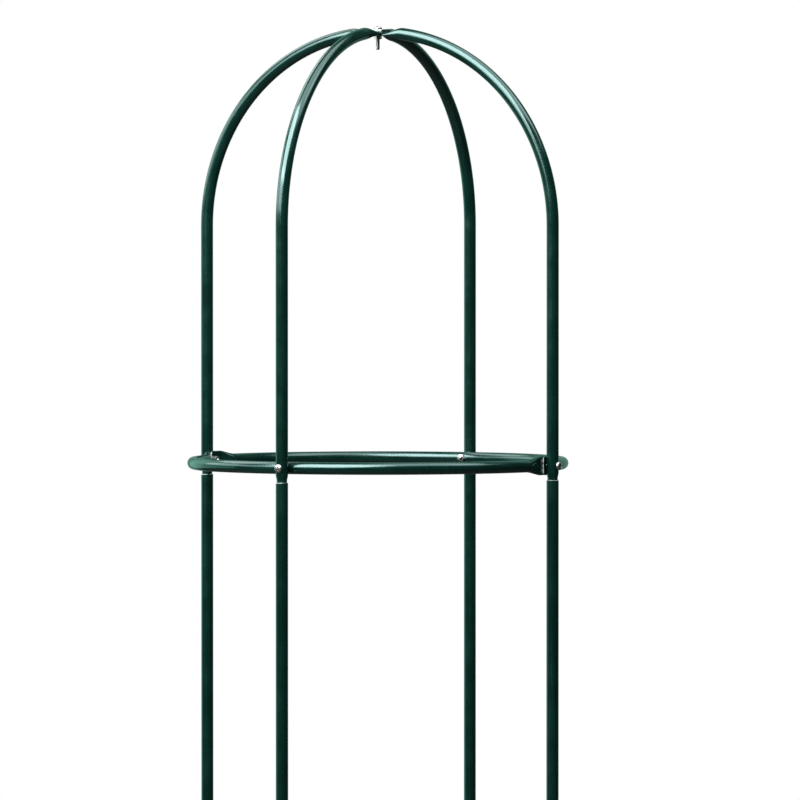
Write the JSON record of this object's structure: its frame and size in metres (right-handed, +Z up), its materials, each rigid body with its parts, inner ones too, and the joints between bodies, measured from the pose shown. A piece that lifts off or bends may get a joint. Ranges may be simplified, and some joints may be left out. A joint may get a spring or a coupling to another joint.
{
  "type": "garden obelisk",
  "caption": "Tall dome-topped garden obelisk of green coated steel tube: legs bend over to meet at a crown screw, with round hoops bolted inside them for climbing plants.",
  "frame": {"origin": "on the ground, in the middle of the four feet", "axes": "+Z up along the obelisk; -Y is the front, and the legs stand on the diagonals between X and Y"},
  "size_m": [0.376, 0.376, 1.8992],
  "materials": {
    "green_coating": "glossy dark green plastic coating on steel tube",
    "zinc_plating": "bright zinc plated steel",
    "black_plastic": "moulded black plastic"
  },
  "bodies": {
    "root": {"arch_front_left": "green_coating", "arch_front_right": "green_coating", "arch_back_right": "green_coating", "arch_back_left": "green_coating", "leg_lower_front_left": "green_coating", "leg_lower_front_right": "green_coating", "leg_lower_back_right": "green_coating", "leg_lower_back_left": "green_coating", "leg_middle_front_left": "green_coating", "leg_middle_front_right": "green_coating", "leg_middle_back_right": "green_coating", "leg_middle_back_left": "green_coating", "leg_upper_front_left": "green_coating", "leg_upper_front_right": "green_coating", "leg_upper_back_right": "green_coating", "leg_upper_back_left": "green_coating", "hoop_bottom_front": "green_coating", "hoop_bottom_back": "green_coating", "hoop_middle_front": "green_coating", "hoop_middle_back": "green_coating", "hoop_top_front": "green_coating", "hoop_top_back": "green_coating", "long_screws_bottom_hoop": "zinc_plating", "short_screws_bottom_hoop": "zinc_plating", "nuts_bottom_hoop": "zinc_plating", "long_screws_middle_hoop": "zinc_plating", "short_screws_middle_hoop": "zinc_plating", "nuts_middle_hoop": "zinc_plating", "long_screws_top_hoop": "zinc_plating", "short_screws_top_hoop": "zinc_plating", "nuts_top_hoop": "zinc_plating", "foot_plug_front_left": "black_plastic", "foot_plug_front_right": "black_plastic", "foot_plug_back_right": "black_plastic", "foot_plug_back_left": "black_plastic", "crown_screw": "zinc_plating", "crown_nut": "zinc_plating"}
  },
  "joints": []
}
